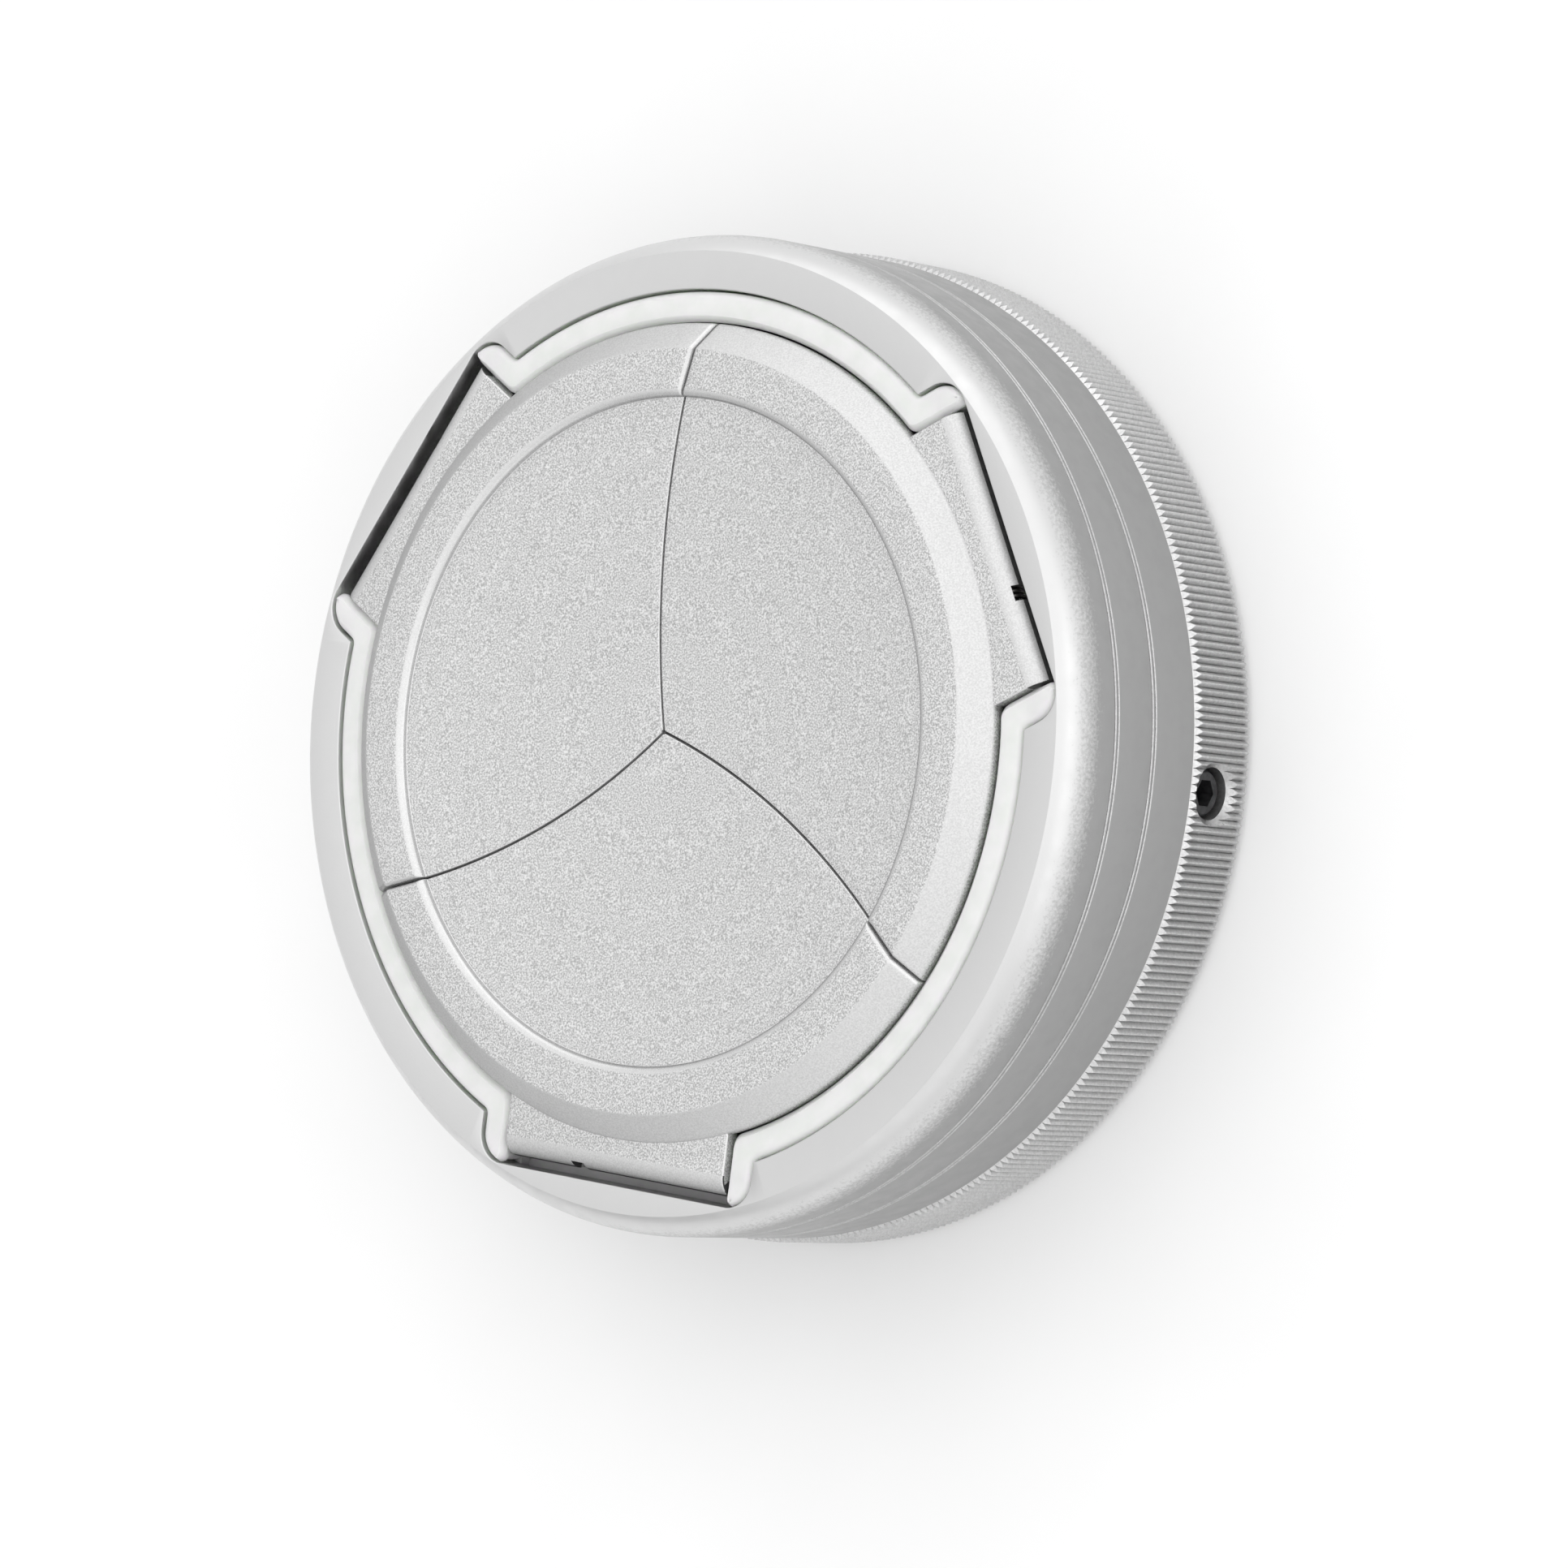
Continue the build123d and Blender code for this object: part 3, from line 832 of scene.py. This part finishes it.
leaf_finishes_and_shade = [leaf_grain, leaf_smooth, leaf_edge, leaf_painted_shade]
for face in leaf.data.polygons:
    x, y, z = face.center
    r = hypot(x, y)
    lean = face.normal.z
    sideways = abs(face.normal.y * x - face.normal.x * y) / r
    in_bevel = BEVEL_ZONE[0] < r < BEVEL_ZONE[1] and z > BEVEL_ZONE_Z
    on_edge = z > ROUND_ZONE_Z and (sideways > SEAM_LEAN or r < BEVEL_ZONE[0])
    # Faces on the barrel that lean downwards get painted shade
    if x > BARREL_ZONE:
        face.material_index = 3 if lean < SHADE_BELOW_LEAN else 1
    elif on_edge and ROUND_LEAN[0] < lean < ROUND_LEAN[1]:
        face.material_index = 2
    elif in_bevel and BEVEL_LEAN[0] < lean < BEVEL_LEAN[1]:
        face.material_index = 1
    else:
        face.material_index = 0
leaves = [leaf] + [turned_copy(leaf, f"leaf_panel_{k + 1}", 360 * k / HINGES) for k in (1, 2)]
for k, piece in enumerate(leaves):
    place(piece, leaf_finishes_and_shade, f"{BODIES[k]}_leaf", [f"leaf_{k + 1}"], 28)


# Clamp ring with its straight knurl

tooth = ((0, KNURL_VALLEY_R), (0.09, KNURL_FLANK_R), (0.46, KNURL_TIP_R), (0.54, KNURL_TIP_R),
         (0.91, KNURL_FLANK_R))
knurl_angles = [2 * pi * (k + share) / TEETH for k in range(TEETH) for share, _ in tooth]
knurl_radii = [r for _ in range(TEETH) for _, r in tooth]
rear = [(LENS_R + LENS_BEVEL, 0), (RIM_R - RIM_BEVEL, 0), (RIM_R, RIM_BEVEL), (RIM_R, RIM_Z)]
inside = [(KNURL_ROOT_R, CLAMP_H), (SPIGOT_R, CLAMP_H), (SPIGOT_R, FLANGE_Z - SPIGOT_BEVEL),
          (SPIGOT_R - SPIGOT_BEVEL, FLANGE_Z), (RELIEF_R + RELIEF_BEVEL, FLANGE_Z),
          (RELIEF_R, FLANGE_Z - RELIEF_BEVEL), (RELIEF_R, SKIRT_Z), (LENS_R, SKIRT_Z),
          (LENS_R, LENS_BEVEL)]
rows = [[p] * len(knurl_angles) for p in rear]
for z, slope in ((RIM_Z, KNURL_REAR_SLOPE), (CLAMP_H, KNURL_FRONT_SLOPE)):
    rows.append([(r, z + (r - KNURL_ROOT_R) * slope) for r in knurl_radii])
rows += [[p] * len(knurl_angles) for p in inside]
clamp = new_object("knurled_ring", *turned_section(knurl_angles, rows))

screw_turns = [SCREW_TURN + 360 * k / SCREWS for k in range(SCREWS)]
sink_r = SCREW_HOLE_R + SINK_END - SINK_START
sink = lathe([(0, SINK_BOTTOM), (SCREW_HOLE_R, SINK_BOTTOM), (SCREW_HOLE_R, SINK_START),
              (sink_r, SINK_END), (0, SINK_END)], SINK_COLUMNS)
for turn in screw_turns:
    spin = Matrix.Rotation(radians(turn), 4, "Z")
    aim = Matrix.Translation((0, 0, SCREW_Z)) @ spin @ Matrix.Rotation(radians(90), 4, "Y")
    combine(clamp, new_object("sink", *moved(sink, aim)))
for face in clamp.data.polygons:
    x, y, z = face.center
    for turn in screw_turns:
        c, s = cos(radians(turn)), sin(radians(turn))
        out = x * c + y * s
        off = hypot(y * c - x * s, z - SCREW_Z)
        if out > SINK_ZONE and abs(off - SCREW_HOLE_R - (out - SINK_START)) < SINK_NEAR:
            face.material_index = 1
place(clamp, [knurl_metal, cut_metal], "housing", ["clamp_ring"])


# Set screws with their thread and socket

def threaded_rod(columns=40):
    """The screw's threaded body, standing on its tip."""
    count = int(SCREW_LENGTH / THREAD_PITCH * THREAD_ROWS)
    rings = []
    for i in range(count + 1):
        z = SCREW_LENGTH * i / count
        end = SCREW_R - THREAD_BEVEL + min(z, SCREW_LENGTH - z)
        ring = []
        for j in range(columns):
            wave = abs(((z / THREAD_PITCH - j / columns) % 1) * 2 - 1)
            r = min(SCREW_R - THREAD_DEPTH * (1 - wave), end)
            ring.append((r * cos(2 * pi * j / columns), r * sin(2 * pi * j / columns), z))
        rings.append(ring)
    return stacked(0, rings, SCREW_LENGTH)


screw = new_object("grub_screw", *threaded_rod())
hexagon = [(SOCKET_R * cos(pi / 3 * k), SOCKET_R * sin(pi / 3 * k)) for k in range(6)]
socket = prism(hexagon, [(0, SCREW_LENGTH - SOCKET_DEPTH), (0, SCREW_LENGTH + 1)])
combine(screw, new_object("socket", *socket))
aim = Matrix.Translation((SCREW_TIP, 0, SCREW_Z)) @ Matrix.Rotation(radians(90), 4, "Y")
screw.data.transform(aim)
for k, turn in enumerate(screw_turns):
    piece = turned_copy(screw, f"grub_screw_{k + 1}", turn)
    place(piece, [black_oxide], f"{BODIES[k]}_screw", [f"set_screw_{k + 1}"])
bpy.data.objects.remove(screw)


# Hinge pins and torsion springs

pin_end = [(PIN_R, PIN_HALF - PIN_BEVEL), (PIN_R - PIN_BEVEL, PIN_HALF), (0, PIN_HALF)]
pin_profile = [(r, -z) for r, z in reversed(pin_end)] + pin_end
pin = new_object("pin", *along_hinge(lathe(pin_profile, PIN_COLUMNS)))
for k in range(HINGES):
    piece = turned_copy(pin, f"pin_{k + 1}", 360 * k / HINGES)
    place(piece, [steel], "housing", [f"hinge_pin_{k + 1}"])
bpy.data.objects.remove(pin)


def tube(path, radius, sides=12):
    """Round wire along a path."""
    verts, faces = [], []
    points = [Vector(p) for p in path]
    side = Vector((0, 1, 0))
    for i, p in enumerate(points):
        ahead = (points[min(i + 1, len(points) - 1)] - points[max(i - 1, 0)]).normalized()
        side = (side - ahead * side.dot(ahead)).normalized()
        up = ahead.cross(side)
        for j in range(sides):
            a = 2 * pi * j / sides
            verts.append(tuple(p + side * (radius * cos(a)) + up * (radius * sin(a))))
    for i in range(len(points) - 1):
        for j in range(sides):
            k = (j + 1) % sides
            faces.append((i * sides + j, i * sides + k, (i + 1) * sides + k, (i + 1) * sides + j))
    faces.append(tuple(range(sides)))
    faces.append(tuple(range((len(points) - 1) * sides, len(points) * sides)))
    return verts, faces


def spring_path():
    """Middle of the wire: the leg on the frame's side, the coil, and the leg on the leaf."""
    slope = COIL_PITCH / (2 * pi * COIL_R)
    path = []
    for k in range(LEG_STEPS, 0, -1):
        run = FIXED_LEG * k / LEG_STEPS
        path.append((COIL_R, -slope * run, -run))
    count = int(COIL_TURNS * COIL_STEPS)
    for k in range(count + 1):
        a = 2 * pi * COIL_TURNS * k / count
        path.append((COIL_R * cos(a), COIL_PITCH * a / (2 * pi), COIL_R * sin(a)))
    for k in range(1, LEG_STEPS + 1):
        run = LEG_LENGTH * k / LEG_STEPS
        path.append((-run, COIL_TURNS * COIL_PITCH + slope * run, COIL_R))
    return [(HINGE_R + x, COIL_START + y, HINGE_Z + z) for x, y, z in path]


spring = new_object("spring", *tube(spring_path(), WIRE_R))
for k, turn in enumerate(hinge_turns):
    piece = turned_copy(spring, f"spring_{k + 1}", 360 * k / HINGES)
    place(piece, [wire], None, [f"torsion_spring_{k + 1}"])
    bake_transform(piece)
bpy.data.objects.remove(spring)


# Floor, light and camera, in metres. The directions are those of the picture: right, up and
# towards the front. The floor rises gently far out, so that low views have it behind the object.
PICTURE_TURN = radians(-23.7)
RIGHT = Vector((cos(PICTURE_TURN), sin(PICTURE_TURN), 0))
UP = Vector((-RIGHT.y, RIGHT.x, 0))
FRONT = Vector((0, 0, 1))
LIT_POINT = Vector((0, 0, 0.009))
FLOOR_HALF = 3.0
SWEEP_HALF = 4.2
SWEEP_RISE = 0.44
WORLD_LEVEL = 0.73
WORLD_SLOPE = RIGHT * 0.28 + UP * 0.25 + FRONT * 0.6

# Camera: picture size and focal length in pixels, sensor in millimetres
PICTURE_SIZE = 1932
FOCAL_LENGTH = 8000
SENSOR_WIDTH = 36
CAMERA_AT = (0.2166376, -0.1181368, 0.3111108)
CAMERA_RIGHT = Vector((0.7287396, -0.277936, -0.6258515))
CAMERA_UP = Vector((0.4011925, 0.9139421, 0.0612725))
CAMERA_AHEAD = Vector((-0.5549622, 0.2957386, -0.7775317))

floor_mesh = bpy.data.meshes.new("floor")
corners = ((-1, -1), (1, -1), (1, 1), (-1, 1))
floor_verts = [(x * FLOOR_HALF, y * FLOOR_HALF, 0) for x, y in corners]
floor_verts += [(x * SWEEP_HALF, y * SWEEP_HALF, SWEEP_RISE) for x, y in corners]
sweep = [(k, k + 4, (k + 1) % 4 + 4, (k + 1) % 4) for k in range(4)]
floor_mesh.from_pydata(floor_verts, [], [(0, 1, 2, 3)] + sweep)
floor = bpy.data.objects.new("floor", floor_mesh)
bpy.context.scene.collection.objects.link(floor)
floor_white, tree, shader = base_material("floor_white", (0.89, 0.89, 0.89), 0.0, 0.9)
tint(tree, shader, noise(tree, 40), (0.88, 0.88, 0.88), (0.90, 0.90, 0.90))
floor_mesh.materials.append(floor_white)


def facing(position, right, up, back):
    """Place of a lamp or the camera, which looks away from its back."""
    return Matrix.Translation(position) @ Matrix((right, up, back)).transposed().to_4x4()


def softbox(name, turn, rise, distance, width, height, power):
    """A lamp towards a direction in the picture, raised from the floor; its width lies level."""
    data = bpy.data.lights.new(name, "AREA")
    data.shape = "RECTANGLE"
    data.size = width
    data.size_y = height
    data.energy = power
    lamp = bpy.data.objects.new(name, data)
    level = RIGHT * cos(radians(turn)) + UP * sin(radians(turn))
    back = level * cos(radians(rise)) + FRONT * sin(radians(rise))
    side = FRONT.cross(level)
    lamp.matrix_world = facing(LIT_POINT + back * distance, side, back.cross(side), back)
    bpy.context.scene.collection.objects.link(lamp)


softbox("right", turn=-5, rise=16, distance=0.8, width=1.0, height=0.45, power=0.6)
softbox("top", turn=95, rise=20, distance=0.8, width=1.0, height=0.4, power=0.55)
softbox("low", turn=-86, rise=24, distance=0.8, width=0.8, height=0.4, power=0.35)

# The surroundings brighten evenly towards one direction
world = bpy.data.worlds.new("studio")
bpy.context.scene.world = world
world.use_nodes = True
tree = world.node_tree
background = tree.nodes["Background"]
background.inputs["Color"].default_value = (1, 1, 1, 1)
direction = tree.nodes.new("ShaderNodeTexCoord")
along = tree.nodes.new("ShaderNodeVectorMath")
along.operation = "DOT_PRODUCT"
along.inputs[1].default_value = WORLD_SLOPE
tree.links.new(direction.outputs["Generated"], along.inputs[0])
level = tree.nodes.new("ShaderNodeMath")
level.operation = "ADD"
level.inputs[1].default_value = WORLD_LEVEL
tree.links.new(along.outputs["Value"], level.inputs[0])
tree.links.new(level.outputs["Value"], background.inputs["Strength"])

camera_data = bpy.data.cameras.new("camera")
camera_data.sensor_width = SENSOR_WIDTH
camera_data.lens = FOCAL_LENGTH * SENSOR_WIDTH / PICTURE_SIZE
camera_data.clip_start = 0.01
camera = bpy.data.objects.new("camera", camera_data)
camera.matrix_world = facing(CAMERA_AT, CAMERA_RIGHT, CAMERA_UP, -CAMERA_AHEAD)
bpy.context.scene.collection.objects.link(camera)
bpy.context.scene.camera = camera
bpy.context.scene.view_settings.view_transform = "Standard"
